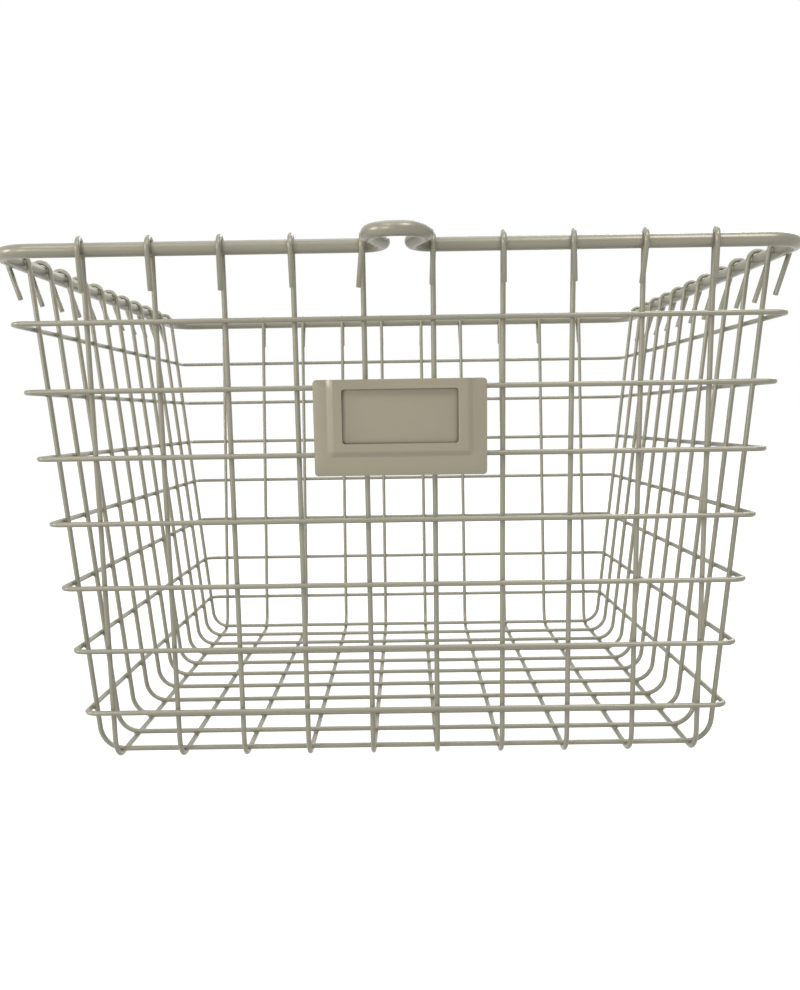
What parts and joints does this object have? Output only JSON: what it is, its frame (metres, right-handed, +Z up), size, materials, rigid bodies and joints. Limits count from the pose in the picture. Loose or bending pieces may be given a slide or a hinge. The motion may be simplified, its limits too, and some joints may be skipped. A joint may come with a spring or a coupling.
{
  "type": "wire locker basket",
  "caption": "Open wire mesh locker basket with tapered walls, hooked onto a heavier rim rod that is bent into a lock loop at the front, with a card holder on the front wall.",
  "frame": {"origin": "on the ground under the middle of the overall width and depth, hooks and lock loop included", "axes": "+Z up, -Y toward the front with the lock loop and card holder, +X to the right as seen from the front"},
  "size_m": [0.3104, 0.3618, 0.2046],
  "materials": {
    "rim_paint": "satin warm grey enamel on steel rod",
    "wire_paint": "satin warm grey enamel on steel wire",
    "holder_paint": "satin warm grey enamel on sheet steel"
  },
  "bodies": {
    "root": {"rim_rod": "rim_paint", "long_wire_1": "wire_paint", "long_wire_2": "wire_paint", "long_wire_3": "wire_paint", "long_wire_4": "wire_paint", "long_wire_5": "wire_paint", "long_wire_6": "wire_paint", "long_wire_7": "wire_paint", "long_wire_8": "wire_paint", "long_wire_9": "wire_paint", "long_wire_10": "wire_paint", "cross_wire_1": "wire_paint", "cross_wire_2": "wire_paint", "cross_wire_3": "wire_paint", "cross_wire_4": "wire_paint", "cross_wire_5": "wire_paint", "cross_wire_6": "wire_paint", "cross_wire_7": "wire_paint", "cross_wire_8": "wire_paint", "cross_wire_9": "wire_paint", "cross_wire_10": "wire_paint", "cross_wire_11": "wire_paint", "band_wire_1": "wire_paint", "band_wire_2": "wire_paint", "band_wire_3": "wire_paint", "band_wire_4": "wire_paint", "band_wire_5": "wire_paint", "band_wire_6": "wire_paint", "band_wire_7": "wire_paint", "card_back_plate": "holder_paint", "card_frame": "holder_paint"}
  },
  "joints": []
}
